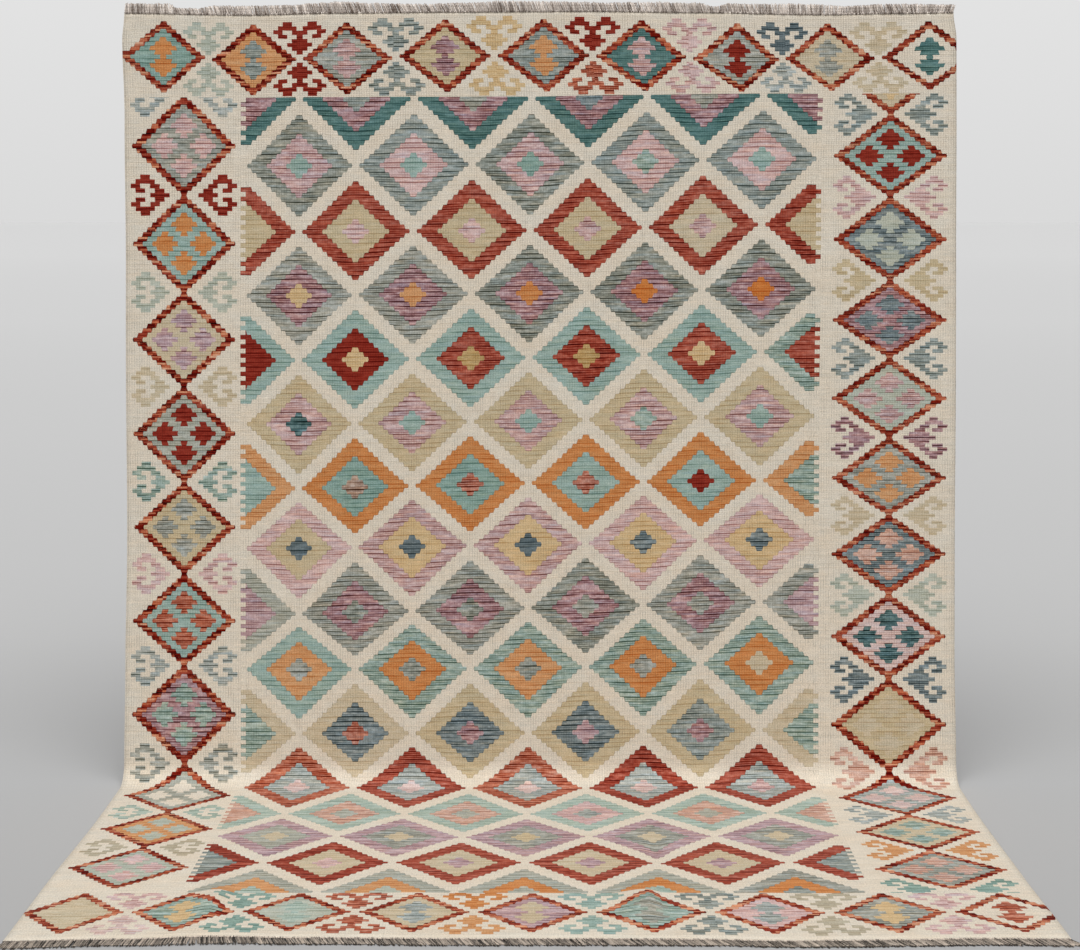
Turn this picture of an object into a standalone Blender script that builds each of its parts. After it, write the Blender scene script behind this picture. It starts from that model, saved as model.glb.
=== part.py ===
"""A flat-woven kilim held by its top edge, with its lower part laid out on the floor in front.

Metres, +Z up. The origin is the middle of the top edge, where the cloth is held. The back of the
hanging part lies near the plane y = 0 and the front faces -Y; the floor is at z = -HANG_HEIGHT.
Three pieces: the woven cloth, and at each end a twined strip with the loose warp ends fused into it.
"""

from math import pi

import bpy
import numpy as np

# The cloth
HANG_HEIGHT = 1.850  # from the floor up to the held edge
FLOOR_REACH = 0.849  # from the hanging part's plane to the front edge
BEND_RADIUS = 0.050  # of the cloth's back, where it turns onto the floor
THICKNESS = 0.003
BILLOW = 0.005  # how far the hanging part stands forward at its middle
EDGE_FADE = 0.45  # how far down the cloth the top edge's waves die out
FRONT_FADE = 0.30  # how far back from the front edge its waves die out

# The selvedges: how far down the cloth (along it), and where the left and right edges are
SIDE_EDGES = dict(
    down=(0.00, 0.06, 0.25, 0.60, 1.25, 1.55, 1.80, 2.10, 2.40, 2.66),
    left=(-1.001, -1.006, -1.000, -0.996, -0.993, -0.998, -1.001, -0.997, -1.002, -1.002),
    right=(0.991, 0.998, 0.998, 0.996, 0.993, 0.993, 0.997, 0.992, 0.995, 1.001),
)
# The held edge: how far it rises above or sags below the origin
TOP_EDGE = dict(
    x=(-1.00, -0.71, -0.48, -0.22, 0.12, 0.38, 0.68, 0.87, 1.00),
    rise=(-0.0005, -0.0048, 0.0000, 0.0024, 0.0041, 0.0010, -0.0040, -0.0008, 0.0010),
)
# The front edge: how far it lies in front of FLOOR_REACH
FRONT_EDGE = dict(
    x=(-1.00, -0.78, -0.62, -0.45, -0.15, 0.08, 0.30, 0.47, 0.57, 0.68, 0.84, 1.00),
    reach=(0.014, 0.003, -0.009, -0.003, 0.002, 0.002, 0.004, 0.011, 0.009, 0.006, 0.000, 0.003),
)
# Soft ridges in the part on the floor, each steeper on its right: the crest's place across the
# cloth and out along the floor, its height, its reach to left and right, and half its length
RIDGES = (
    dict(x=0.216, out=0.690, height=0.011, left=0.080, right=0.036, half_length=0.125),
    dict(x=-0.643, out=0.690, height=0.011, left=0.062, right=0.036, half_length=0.115),
)
# Where the sheet's rows and columns of faces run, as (from, to, steps), closer at bends and ridges
COLUMNS = (
    (0.000, 0.145, 3),
    (0.145, 0.201, 8),
    (0.201, 0.565, 6),
    (0.565, 0.631, 9),
    (0.631, 1.000, 6),
)
ROWS_HUNG = 11
ROWS_BEND = 7
ROWS_FLOOR = 18

# The fringes: a twined strip along the cloth's end, and locks of warp ends fused into it
GAP = 0.0003  # between the cloth and the strip
STRIP_WIDTH = 0.004
FRINGE_THICKNESS = 0.004
LOCKS = 146  # in each fringe
ROOT_SHARE = 0.74  # of the spacing that a lock fills at its root
TIP_SHARE = 0.56
LENGTH_CHANGE = 0.08  # how unlike its neighbours a lock's length is
LENGTH_TURN = 2.4  # radians from one lock to the next in that change
# Along the edge: how long the locks are, and how far their tips lean towards +X
TOP_LOCKS = dict(
    x=(-1.00, -0.89, -0.87, -0.82, -0.78, -0.57, -0.48, -0.35, -0.27, -0.06, 0.16, 0.25, 0.39, 0.41,
       0.43, 0.45, 0.65, 0.73, 0.84, 1.00),
    length=(0.0195, 0.0195, 0.0105, 0.0105, 0.0175, 0.0180, 0.0220, 0.0170, 0.0150, 0.0215, 0.0165,
            0.0195, 0.0190, 0.0120, 0.0120, 0.0180, 0.0215, 0.0160, 0.0190, 0.0150),
    lean=(0.002, -0.002, -0.004, -0.006, -0.006, -0.006, -0.008, -0.009, -0.009, -0.008, -0.006, -0.008,
          -0.006, -0.003, -0.002, -0.004, -0.002, 0.002, -0.006, 0.006),
)
FRONT_LOCKS = dict(
    x=(-1.00, -0.95, -0.78, -0.70, -0.62, -0.45, 0.00, 0.40, 0.80, 0.95, 1.00),
    length=(0.026, 0.025, 0.024, 0.027, 0.027, 0.023, 0.023, 0.022, 0.023, 0.025, 0.026),
    lean=(-0.009, -0.005, -0.006, -0.006, 0.007, 0.012, 0.013, 0.015, 0.015, 0.015, 0.018),
)

# Colours of wool and warp, as seen on the whole cloth from a distance
GROUND_CREAM = (0.62, 0.55, 0.45, 1.0)
WARP_GREY = (0.24, 0.21, 0.18, 1.0)


def clear_scene():
    for old in list(bpy.data.objects):
        bpy.data.objects.remove(old)


def yarn_material(name, colour, roughness):
    material = bpy.data.materials.new(name)
    material.use_nodes = True
    shader = material.node_tree.nodes["Principled BSDF"]
    shader.inputs["Base Color"].default_value = colour
    shader.inputs["Roughness"].default_value = roughness
    shader.inputs["Metallic"].default_value = 0.0
    material.diffuse_color = colour
    return material


def eased(at, places, values):
    """The values given at some places, joined by slopes that level out at each of them."""
    places, values = np.asarray(places), np.asarray(values)
    after = np.clip(np.searchsorted(places, at, side="right"), 1, len(places) - 1)
    start, end = places[after - 1], places[after]
    share = np.clip((at - start) / (end - start), 0, 1)
    share = share * share * (3 - 2 * share)
    return values[after - 1] + (values[after] - values[after - 1]) * share


def hump(distance, reach):
    """1 at no distance and 0 from the reach on, with a round top and soft feet."""
    return np.cos(np.clip(distance / reach, -1, 1) * pi / 2) ** 2


def stations(stretches):
    """The ends of the steps of each (from, to, steps) in turn."""
    ends = [np.linspace(start, end, steps + 1)[1:] for start, end, steps in stretches]
    return np.concatenate([[stretches[0][0]], *ends])


def lengths_along():
    """How far down the cloth the bend starts and ends, and where the cloth ends."""
    bend_starts = HANG_HEIGHT - BEND_RADIUS
    bend_ends = bend_starts + BEND_RADIUS * pi / 2
    return bend_starts, bend_ends, bend_ends + FLOOR_REACH - BEND_RADIUS


def ridge_height(x, out):
    """The sum of the ridges' humps, each the product of one across and one along the ridge."""
    height = np.zeros_like(x)
    for ridge in RIDGES:
        away = x - ridge["x"]
        across = hump(away, np.where(away < 0, ridge["left"], ridge["right"]))
        height += ridge["height"] * across * hump(out - ridge["out"], ridge["half_length"])
    return height


def cloth_back(across, down):
    """The cloth's back: straight down, round a quarter circle, then out along the floor.

    across runs from 0 at the left selvedge to 1 at the right, and down is the length along the
    cloth from its top edge. The top edge's waves and the billow move the hanging part, and the
    ridges and the front edge's waves move the part on the floor.
    """
    bend_starts, bend_ends, end = lengths_along()
    left = eased(down, SIDE_EDGES["down"], SIDE_EDGES["left"])
    right = eased(down, SIDE_EDGES["down"], SIDE_EDGES["right"])
    x = left + (right - left) * across
    angle = np.clip((down - bend_starts) / BEND_RADIUS, 0, pi / 2)
    on_floor = np.clip(down - bend_ends, 0, None)
    hung = np.clip(down / bend_starts, 0, 1)
    near_end = np.clip((down - end + FRONT_FADE) / FRONT_FADE, 0, 1)

    out = BEND_RADIUS * (1 - np.cos(angle)) + on_floor
    out += BILLOW * np.sin(pi * hung) ** 2
    out += eased(x, FRONT_EDGE["x"], FRONT_EDGE["reach"]) * near_end**2
    z = -np.minimum(down, bend_starts) - BEND_RADIUS * np.sin(angle)
    z += eased(x, TOP_EDGE["x"], TOP_EDGE["rise"]) * np.clip(1 - down / EDGE_FADE, 0, 1) ** 2
    z += ridge_height(x, out) * (on_floor > 0)
    return np.stack([x, -out, z], axis=-1)


def add_cloth(material):
    """A grid whose rows and columns are bent into the cloth's back and given its thickness."""
    bend_starts, bend_ends, end = lengths_along()
    across = stations(COLUMNS)
    down = stations((
        (0, bend_starts, ROWS_HUNG),
        (bend_starts, bend_ends, ROWS_BEND),
        (bend_ends, end, ROWS_FLOOR),
    ))
    bpy.ops.mesh.primitive_grid_add(
        x_subdivisions=len(across) - 1, y_subdivisions=len(down) - 1, size=1
    )
    cloth = bpy.context.object
    cloth.name = "kilim"
    flat = np.empty(len(cloth.data.vertices) * 3)
    cloth.data.vertices.foreach_get("co", flat)
    flat = flat.reshape(-1, 3) + 0.5
    column = np.rint(flat[:, 0] * (len(across) - 1)).astype(int)
    row = np.rint((1 - flat[:, 1]) * (len(down) - 1)).astype(int)
    places = cloth_back(across[column], down[row])
    cloth.data.vertices.foreach_set("co", places.ravel())
    cloth.data.materials.append(material)

    solidify = cloth.modifiers.new("thickness", "SOLIDIFY")
    solidify.thickness = THICKNESS
    solidify.offset = 1
    cloth.data.shade_smooth()
    return cloth


def lock_outline(locks, edge_x, edge_out):
    """The strip and its locks as one flat outline, the locks pointing towards +Y.

    The strip follows the cloth's end, GAP away from it. Each lock is a tapering quadrilateral on
    the strip's outer side, with its own length and lean.
    """
    spacing = (edge_x[-1] - edge_x[0]) / LOCKS
    number = np.arange(LOCKS)
    centre = edge_x[0] + spacing * (number + 0.5)
    length = np.interp(centre, locks["x"], locks["length"])
    length = length * (1 + LENGTH_CHANGE * np.sin(LENGTH_TURN * number))
    lean = eased(centre, locks["x"], locks["lean"])
    root, tip = spacing * ROOT_SHARE / 2, spacing * TIP_SHARE / 2

    def at(x, height, lean=0):
        return np.stack([x + lean, np.interp(x, edge_x, edge_out) + GAP + height], axis=-1)

    teeth = np.stack([
        at(centre - root, STRIP_WIDTH),
        at(centre - tip, STRIP_WIDTH + length, lean),
        at(centre + tip, STRIP_WIDTH + length, lean),
        at(centre + root, STRIP_WIDTH),
    ], axis=1).reshape(-1, 2)
    outer_start, outer_end = at(edge_x[[0, -1]], STRIP_WIDTH)
    return np.concatenate([[outer_start], teeth, [outer_end], at(edge_x, 0)[::-1]])


def add_fringe(name, outline, material):
    """A flat outline filled on both sides and extruded to the fringe's thickness."""
    curve = bpy.data.curves.new(name, "CURVE")
    curve.dimensions = "2D"
    curve.fill_mode = "BOTH"
    curve.extrude = FRINGE_THICKNESS / 2
    spline = curve.splines.new("POLY")
    spline.points.add(len(outline) - 1)
    points = np.zeros((len(outline), 4))
    points[:, :2] = outline
    points[:, 3] = 1
    spline.points.foreach_set("co", points.ravel())
    spline.use_cyclic_u = True
    fringe = bpy.data.objects.new(name, curve)
    curve.materials.append(material)
    return fringe


def add_top_fringe(material):
    """Stands up from the held edge, its back level with the cloth's."""
    edge = cloth_back(stations(COLUMNS), 0)
    fringe = add_fringe("fringe_top", lock_outline(TOP_LOCKS, edge[:, 0], edge[:, 2]), material)
    fringe.rotation_euler.x = pi / 2
    fringe.location.y = -FRINGE_THICKNESS / 2
    return fringe


def add_front_fringe(material):
    """Lies level on the floor in front of the cloth."""
    edge = cloth_back(stations(COLUMNS), lengths_along()[-1])
    fringe = add_fringe(
        "fringe_bottom", lock_outline(FRONT_LOCKS, edge[:, 0], -edge[:, 1]), material
    )
    fringe.rotation_euler.x = pi
    fringe.location.z = -HANG_HEIGHT + FRINGE_THICKNESS / 2
    return fringe


def main():
    clear_scene()
    parts = bpy.data.collections.new("kilim rug")
    bpy.context.scene.collection.children.link(parts)
    wool = yarn_material("woven_wool", GROUND_CREAM, 0.95)
    top_warp = yarn_material("warp_ends_top", WARP_GREY, 0.9)
    front_warp = yarn_material("warp_ends_bottom", WARP_GREY, 0.9)
    cloth = add_cloth(wool)
    for holder in list(cloth.users_collection):
        holder.objects.unlink(cloth)
    for piece in (cloth, add_top_fringe(top_warp), add_front_fringe(front_warp)):
        parts.objects.link(piece)


main()
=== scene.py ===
"""A kilim rug held by its top edge, with its lower part laid out on the floor in front.

Metres, +Z up. The origin is the middle of the held edge, the front faces -Y, and the floor is at
z = -HANG_HEIGHT. The cloth is one sheet on a grid of weft rows and warp columns, its pattern is
worked out by its material from places on the loom, and each fringe is a twined strip with loose
warp ends.
"""

from functools import partialmethod
from math import pi, radians

import bpy
import numpy as np
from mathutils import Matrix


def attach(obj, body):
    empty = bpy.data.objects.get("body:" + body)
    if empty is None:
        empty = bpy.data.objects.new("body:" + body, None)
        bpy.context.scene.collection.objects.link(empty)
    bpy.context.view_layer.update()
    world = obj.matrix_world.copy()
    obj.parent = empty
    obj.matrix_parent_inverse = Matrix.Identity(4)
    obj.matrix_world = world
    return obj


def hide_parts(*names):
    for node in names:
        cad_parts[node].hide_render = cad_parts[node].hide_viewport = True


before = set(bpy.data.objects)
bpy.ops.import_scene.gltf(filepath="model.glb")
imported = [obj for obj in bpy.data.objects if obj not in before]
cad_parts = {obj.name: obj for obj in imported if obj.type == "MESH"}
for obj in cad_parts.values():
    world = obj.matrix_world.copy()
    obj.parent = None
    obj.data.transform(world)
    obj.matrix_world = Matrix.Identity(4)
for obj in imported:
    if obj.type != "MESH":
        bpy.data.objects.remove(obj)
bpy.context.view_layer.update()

# The cloth's shape
HANG_HEIGHT = 1.850  # from the floor up to the held edge
FLOOR_REACH = 0.849  # from the hanging part's plane to the front edge
BEND_RADIUS = 0.050  # of the cloth's back, where it turns onto the floor
THICKNESS = 0.003
BILLOW = 0.005  # how far the hanging part stands forward at its middle
EDGE_FADE = 0.45  # how far down the cloth the top edge's waves die out
FRONT_FADE = 0.30  # how far back from the front edge its waves die out
RIPPLE = 0.0009  # the height of the slack cloth's faint waves
FLOOR_RIPPLE = 0.4  # how far out along the floor they are highest, and how far they reach from there

# The selvedges: how far down the cloth (along it), and where the left and right edges are
SIDE_EDGES = dict(
    down=(0.00, 0.06, 0.25, 0.60, 1.25, 1.55, 1.80, 2.10, 2.40, 2.66),
    left=(-1.001, -1.006, -1.000, -0.996, -0.993, -0.998, -1.001, -0.997, -1.002, -1.002),
    right=(0.991, 0.998, 0.998, 0.996, 0.993, 0.993, 0.997, 0.992, 0.995, 1.001),
)
# The held edge: how far it rises above or sags below the origin
TOP_EDGE = dict(
    x=(-1.00, -0.71, -0.48, -0.22, 0.12, 0.38, 0.68, 0.87, 1.00),
    rise=(-0.0005, -0.0048, 0.0000, 0.0024, 0.0041, 0.0010, -0.0040, -0.0008, 0.0010),
)
# The front edge: how far it lies in front of FLOOR_REACH
FRONT_EDGE = dict(
    x=(-1.00, -0.78, -0.62, -0.45, -0.15, 0.08, 0.30, 0.47, 0.57, 0.68, 0.84, 1.00),
    reach=(0.014, 0.003, -0.009, -0.003, 0.002, 0.002, 0.004, 0.011, 0.009, 0.006, 0.000, 0.003),
)
# Soft ridges in the part on the floor, each steeper on its right: the crest's place across the
# cloth and out along the floor, its height, its reach to left and right, and half its length
RIDGES = (
    dict(x=0.216, out=0.690, height=0.011, left=0.080, right=0.036, half_length=0.125),
    dict(x=-0.643, out=0.690, height=0.011, left=0.062, right=0.036, half_length=0.115),
)

# The loom: places across the cloth in metres, and along it as metres down from the held edge
LEFT_SELVEDGE, RIGHT_SELVEDGE = -0.998, 0.996
SELVEDGE_FADE = 0.28  # how far in from the selvedges their waves die out
FIELD_LEFT, FIELD_RIGHT = -0.7088, 0.6540
UNIT = 0.00407  # a third of a step of the pattern
STEP = 3 * UNIT
FIELD_ROWS = 211
HALF_TIPS = (9.5, 8.5)  # rows up and down to the cut tips of the half diamonds, left and right
ROWS_APART = 14  # pattern rows between the centres of two rows of diamonds
UNITS_APART = 68  # between the centres of two diamonds of a row
# Where the centres of the field's diamonds are, every half of UNITS_APART from the left edge
FIELD_ACROSS = (-0.7137, -0.5813, -0.4465, -0.3097, -0.1701, -0.0309, 0.1068, 0.2452, 0.3819,
                0.5240, 0.6633)
# Where the centres of the field's 16 rows of diamonds are; the first and last are cut in half
FIELD_DOWN = (0.2008, 0.3617, 0.5212, 0.6714, 0.8261, 0.9782, 1.1272, 1.2750, 1.4275, 1.5731,
              1.7282, 1.8735, 2.0418, 2.1811, 2.3217, 2.4741)
# The weft rows aren't quite level: how far down the cloth they lie at the left and right of the
# field, against their middle
WEFT_MIDDLE, WEFT_REACH = -0.03, 0.55
WEFT_SLOPES = dict(
    down=(0.10, *FIELD_DOWN, 2.60),
    left=(0.000, 0.000, 0.005, 0.004, 0.0065, 0.0065, 0.008, 0.013, 0.009, 0.014, 0.002, 0.002,
          -0.005, -0.003, -0.007, 0.000, 0.000, 0.000),
    right=(0.000, -0.009, -0.0125, -0.014, -0.010, -0.014, -0.012, -0.0065, -0.013, -0.0145, -0.0145,
           -0.007, -0.007, -0.007, -0.010, 0.000, 0.000, 0.000),
)
# How far the warps lie to the right of their place, at the right of the field; none at its left
WARP_SLANT = dict(
    down=(0.10, 0.20, 0.36, 0.52, 0.67, 0.98, 1.30),
    right=(0.000, 0.011, 0.007, 0.006, 0.004, 0.001, 0.000),
)
# How far the left chain's warps lie to the right of their place, where the cloth meets the floor
CHAIN_SLANT = dict(
    down=(1.75, 1.92, 2.13, 2.35, 2.50),
    left=(0.000, 0.006, 0.008, 0.003, 0.000),
    x=(LEFT_SELVEDGE, -0.97, -0.74, FIELD_LEFT),  # where it starts, is full, ends being so, and ends
)
# Places where the weft is pulled down the cloth
PULLS = (
    dict(x=0.253, down=2.255, across=0.040, along=0.110, amount=0.018),
    dict(x=-0.600, down=2.610, across=0.035, along=0.060, amount=0.012),
)
BOW = 0.0028  # how far the wefts bow over and under the middle of each diamond
BOW_FADE = 0.06  # from the field's sides to where its wefts bow fully

# The yarns: red, green and blue as the eye sees them (0 to 255), and how streaky the dyeing is
YARNS = dict(
    cream=(202, 192, 176, 0.16),
    deep_teal=(77, 106, 103, 0.65),
    dark_teal=(74, 97, 97, 1.30),
    turquoise=(122, 146, 137, 0.58),
    aqua=(137, 157, 149, 0.58),
    pale_aqua=(153, 167, 156, 0.75),
    sea_teal=(133, 149, 139, 1.15),
    mauve=(144, 111, 113, 1.45),
    lilac=(162, 136, 139, 1.10),
    sage=(140, 141, 132, 1.10),
    pale_sage=(153, 154, 143, 0.70),
    sage_aqua=(162, 166, 153, 0.50),
    slate=(128, 135, 130, 1.05),
    grey_slate=(124, 127, 118, 1.25),
    slate_blue=(104, 114, 115, 1.15),
    light_slate=(147, 152, 147, 1.10),
    navy=(89, 100, 103, 0.70),
    rose=(171, 141, 138, 1.20),
    dusty_pink=(174, 146, 145, 1.25),
    pink=(186, 157, 153, 0.95),
    pale_pink=(190, 167, 161, 0.90),
    salmon_pink=(180, 144, 128, 1.10),
    brick=(142, 69, 55, 1.10),
    deep_brick=(133, 58, 45, 1.20),
    rust=(155, 87, 67, 1.30),
    deep_red=(121, 43, 33, 0.50),
    brick_rose=(150, 92, 76, 1.50),
    taupe=(140, 115, 100, 1.50),
    peach=(186, 136, 94, 0.50),
    orange=(182, 121, 74, 0.42),
    bright_orange=(180, 108, 56, 0.38),
    gold=(165, 137, 93, 0.60),
    straw=(188, 162, 123, 0.42),
    olive=(178, 162, 132, 0.38),
    khaki=(164, 155, 135, 0.40),
    olive_grey=(181, 167, 142, 0.36),
)
# The yarns of the mottled outlines, and how much of the outline each takes
OUTLINE_YARNS = (
    (0.32, (88, 15, 6)),
    (0.34, (128, 50, 36)),
    (0.22, (166, 90, 64)),
    (0.12, (188, 128, 98)),
)
# The field's diamonds, row by row: outer, middle and heart. Where a row's diamonds differ, their
# yarns are listed from the left, and the last one goes on to the right
FIELD_YARNS = (
    ("deep_teal", "mauve", "slate slate sage slate_blue sage"),
    ("grey_slate slate grey_slate slate", "dusty_pink pink dusty_pink pink",
     "aqua aqua turquoise sea_teal aqua"),
    ("brick brick brick brick brick deep_brick", "olive olive olive olive olive_grey olive",
     "pink pink pink rose"),
    ("sage sage grey_slate", "mauve", "straw peach orange bright_orange"),
    ("aqua aqua aqua aqua aqua sea_teal", "deep_red deep_red brick deep_brick brick",
     "straw straw gold gold straw"),
    ("olive", "rose", "dark_teal aqua aqua sea_teal aqua"),
    ("peach orange orange orange orange peach", "aqua turquoise turquoise aqua aqua sea_teal",
     "taupe taupe brick_rose brick_rose deep_red"),
    ("pink rose rose pink", "olive straw", "navy navy navy slate_blue"),
    ("pale_sage sage sage grey_slate sage", "lilac mauve mauve mauve mauve lilac",
     "grey_slate grey_slate grey_slate sage"),
    ("aqua sea_teal", "peach orange peach orange", "sage grey_slate grey_slate sage olive_grey"),
    ("olive_grey olive_grey olive olive olive olive_grey",
     "sea_teal slate_blue slate_blue slate_blue slate sea_teal",
     "brick_rose brick_rose mauve lilac mauve"),
    ("rust brick rust deep_brick brick", "light_slate",
     "pale_pink pale_pink pale_pink pale_pink rose"),
    ("pale_aqua", "salmon_pink salmon_pink salmon_pink pink salmon_pink",
     "pale_sage pale_sage pale_sage light_slate pale_sage"),
    ("lilac", "pale_sage sage", "olive_grey olive_grey olive olive_grey"),
    ("deep_brick deep_brick brick", "slate olive_grey olive_grey olive_grey olive_grey slate",
     "pink pink lilac"),
    ("pale_sage pale_sage pale_sage pale_sage sage", "peach peach orange",
     "pale_aqua sage_aqua pale_sage pale_aqua slate"),
)
FAR_OFF = 99  # a place that no motif reaches
# The chains of outlined diamonds down the sides. Their diamonds lie CHAIN_APART rows apart, and a
# pair of horned motifs fills each waist between two of them, from the one above the first diamond.
# The dye lot is a number that gives each chain, and each band below, streaks of its own
CHAIN_APART = 21
CHAIN_REACH = 0.13  # from a chain's middle to where its wefts stop bowing
LEFT_CHAIN = dict(
    x=-0.8570,
    unit=0.00387,
    first=0,
    down=(0.3187, 0.5538, 0.7834, 1.0091, 1.2330, 1.4576, 1.6837, 1.9209, 2.1316, 2.3486),
    fill="sage aqua olive_grey pale_sage olive aqua mauve pale_sage peach sage_aqua",
    lozenge="pink orange lilac deep_red sage rust sea_teal cream sage_aqua pink",
    horn="light_slate deep_red sage_aqua olive_grey sea_teal pink light_slate sage pale_aqua khaki "
         "cream",
    chart=0,  # where its horned motif's chart starts, and the chart's last row, an empty one
    last=5,
    dye_lot=0,
)
RIGHT_CHAIN = dict(
    x=0.8350,
    unit=0.00433,
    first=-1,
    down=(0.1441, 0.3420, 0.5423, 0.7366, 0.9237, 1.1145, 1.2977, 1.4958, 1.7075, 1.9363, 2.1511,
          2.3575),
    fill="olive_grey aqua slate_blue mauve sage_aqua sage slate_blue pale_pink olive "
         "light_slate olive_grey sage",
    lozenge="straw deep_red sage_aqua slate_blue rose peach salmon_pink dark_teal olive_grey "
            "pale_pink sea_teal salmon_pink",
    horn="cream slate pink olive slate mauve olive_grey sage_aqua slate_blue salmon_pink "
         "light_slate peach turquoise",
    chart=6,
    last=6,
    dye_lot=120,
)
# The bands of outlined diamonds at the top and the front. Their diamonds lie BAND_APART units
# apart, with an upper and a lower horned motif between two of them
BAND_APART = 60
BAND_HALF = 10  # rows from the middle of a band to its edge
BAND_NARROW = 0.93  # its diamonds are drawn with so many units to the one of its horned motifs
TOP_BAND = dict(
    down=0.1034,
    row=0.0100,
    x=(-0.9044, -0.6916, -0.4678, -0.2306, 0.0062, 0.2418, 0.4714, 0.6875, 0.9322),
    fill="turquoise peach sage olive slate deep_teal sage olive_grey cream",
    lozenge="orange slate rose mauve peach rose deep_red sage deep_teal",
    horn="cream sage_aqua deep_red slate straw deep_red pink navy olive_grey cream",
    horn_below="cream sage_aqua deep_red slate straw rust pink light_slate olive_grey cream",
    # How many rows lower its diamonds and its upper horned motifs are
    diamond_drop=(0.0, 0.6, 0.5, 0.0, 0.0, 0.2, 0.7, 0.4, 0.2),
    horn_drop=(0.0, 0.9, 0.9, 0.3, 0.0, 0.3, 0.4, 1.0, 1.0, 0.0),
    tail=-22,  # units: a tail of the outline's yarn goes on from there to the left selvedge
    dye_lot=3.0,
)
FRONT_BAND = dict(
    down=2.5637,
    row=0.0102,
    x=(-0.9060, -0.6961, -0.4763, -0.2407, -0.0132, 0.2208, 0.4489, 0.6848, 0.9219),
    fill="olive_grey sea_teal sage_aqua olive_grey lilac sea_teal pink sage cream",
    lozenge="olive_grey straw pale_aqua light_slate olive_grey sage light_slate straw rust",
    horn="cream pink turquoise rust orange aqua slate khaki pink cream",
    horn_below="cream pale_pink turquoise rust peach aqua slate khaki pink cream",
    diamond_drop=(0.0,) * 9,
    horn_drop=(0.0,) * 10,
    tail=-FAR_OFF,  # none
    dye_lot=3.06,
)
# The charts of the horned motifs: for each row away from the middle one, two stretches of units
# away from the chain, or from the motif's own middle in a band
CHART_SIZE = 40  # no stretch reaches as far as this
HORN_CHARTS = (
    (9, 21, 0, 0), (12, 18, 24, 30), (15, 21, 27, 33), (18, 30, 0, 0), (21, 27, 0, 0), (0, 0, 0, 0),
    (8, 26, 0, 0), (11, 22.5, 0, 0), (14, 20, 24, 30), (17, 22.5, 27, 32.5), (20, 30, 0, 0),
    (22.5, 27, 0, 0), (0, 0, 0, 0),
    (0, 0, 0, 0), (0, 0, 0, 0), (0, 2, 0, 0), (0, 5, 0, 0), (0, 8, 0, 0), (0, 5, 0, 0),
    (0, 2, 8, 14), (0, 5, 11, 17), (2, 14, 0, 0), (5, 11, 0, 0), (0, 0, 0, 0),
)
BAND_CHART = 13
HEART_ORDER = 2  # rows from the middle of a small lozenge to its tip

# The weave, as it shows: ribs of warp, and each pattern row woven as two passes of weft
RIB = STEP / 2
PASSES = 2
RAGGED = 0.7  # units that the side of a colour strays by
SIDE_LEAN = 0.9  # how many units the side of a step leans for each row
SLIT = 0.16  # units on both sides of a colour's upright edge, painted darker as the shade in its slit

# The fringes: loose strands of warp, and the strip twined round their roots
STRAND_COUNT = 2400  # in each fringe
STRAND_SIDES = 5
STRAND_POINTS = 5
STRAND_RADIUS = 0.0012
STRAND_TAPER = 0.3  # how much thinner a strand is at its tip
STRAND_TWIST = 14  # radians from its root to its tip
END_INSET = 0.002  # from a selvedge to the last strand
STRAY = 0.0009  # how far the strands' roots stray along the edge
WAVER_ALONG, WAVER_UP = 0.0005, 0.0004  # how far the strands waver along the edge and up
PILE_FLOOR = 0.0013  # how high above the cloth's back the lowest strands lie
UNDER_SHARE = 0.3  # of the pile's height: the strands there are painted darker as painted shade, and stick out
STRIP_POINTS = 1200
STRIP_SIDES = 8
STRIP_RADIUS = 0.0018
STRIP_OUT, STRIP_UP = 0.0022, 0.0019  # its middle's place from the edge of the cloth's back
STRIP_TWIST = 700  # radians in a metre
STRIP_TONE = 0.2  # from 0 for the darkest yarn to 1 for the palest
# Along the edge: how long the strands are, and how far their tips lean towards +X
TOP_LOCKS = dict(
    outward=(0, 0, 1),
    up=(0, -1, 0),
    pile=0.0045,  # how high above the cloth's back the highest strands lie
    seed=7,
    colours=((110, 95, 85), (252, 240, 229)),  # the darkest yarn and the palest
    x=(-1.00, -0.89, -0.87, -0.82, -0.78, -0.57, -0.48, -0.35, -0.27, -0.06, 0.16, 0.25, 0.39, 0.41,
       0.43, 0.45, 0.65, 0.73, 0.84, 1.00),
    length=(0.0235, 0.0235, 0.0145, 0.0145, 0.0215, 0.0220, 0.0260, 0.0210, 0.0190, 0.0255, 0.0205,
            0.0235, 0.0230, 0.0160, 0.0160, 0.0220, 0.0255, 0.0200, 0.0230, 0.0190),
    lean=(0.0015, -0.0015, -0.0045, -0.006, -0.006, -0.006, -0.0075, -0.009, -0.009, -0.0075, -0.006,
          -0.0075, -0.006, -0.003, -0.0015, -0.0045, -0.0015, 0.0015, -0.006, 0.006),
    parting_shade=0.15,  # painted shade: how much darker the strands between two locks are
    width=0.0105,  # of a lock: some strands that lie the same way
    tones=(0.12, 0.18),  # how unlike each other the locks are, and the single strands
    leaning=(0.0007, 0.0012),  # and how unlike each other they lean
    under=0.30,  # how light the strands lowest in the pile are (painted shade), and how far they stick out
    stick=1.08,
)
FRONT_LOCKS = dict(
    outward=(0, -1, 0),
    up=(0, 0, 1),
    pile=0.0026,
    seed=11,
    colours=((26, 21, 17), (210, 195, 179)),
    x=(-1.00, -0.95, -0.78, -0.70, -0.62, -0.45, 0.00, 0.40, 0.80, 0.95, 1.00),
    length=(0.0285, 0.0275, 0.0265, 0.0295, 0.0295, 0.0255, 0.0255, 0.0245, 0.0255, 0.0275, 0.0285),
    lean=(-0.006, -0.0015, -0.003, -0.003, 0.0075, 0.012, 0.0135, 0.015, 0.015, 0.015, 0.0195),
    parting_shade=0.50,
    width=0.0038,
    tones=(0.17, 0.14),
    leaning=(0.0010, 0.0006),
    # The strands lowest in the pile take the darkest colour: a painted shadow line along the
    # fringe's front
    under=0.0,
    stick=1.14,
)


# ---- The cloth's shape ----

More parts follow.
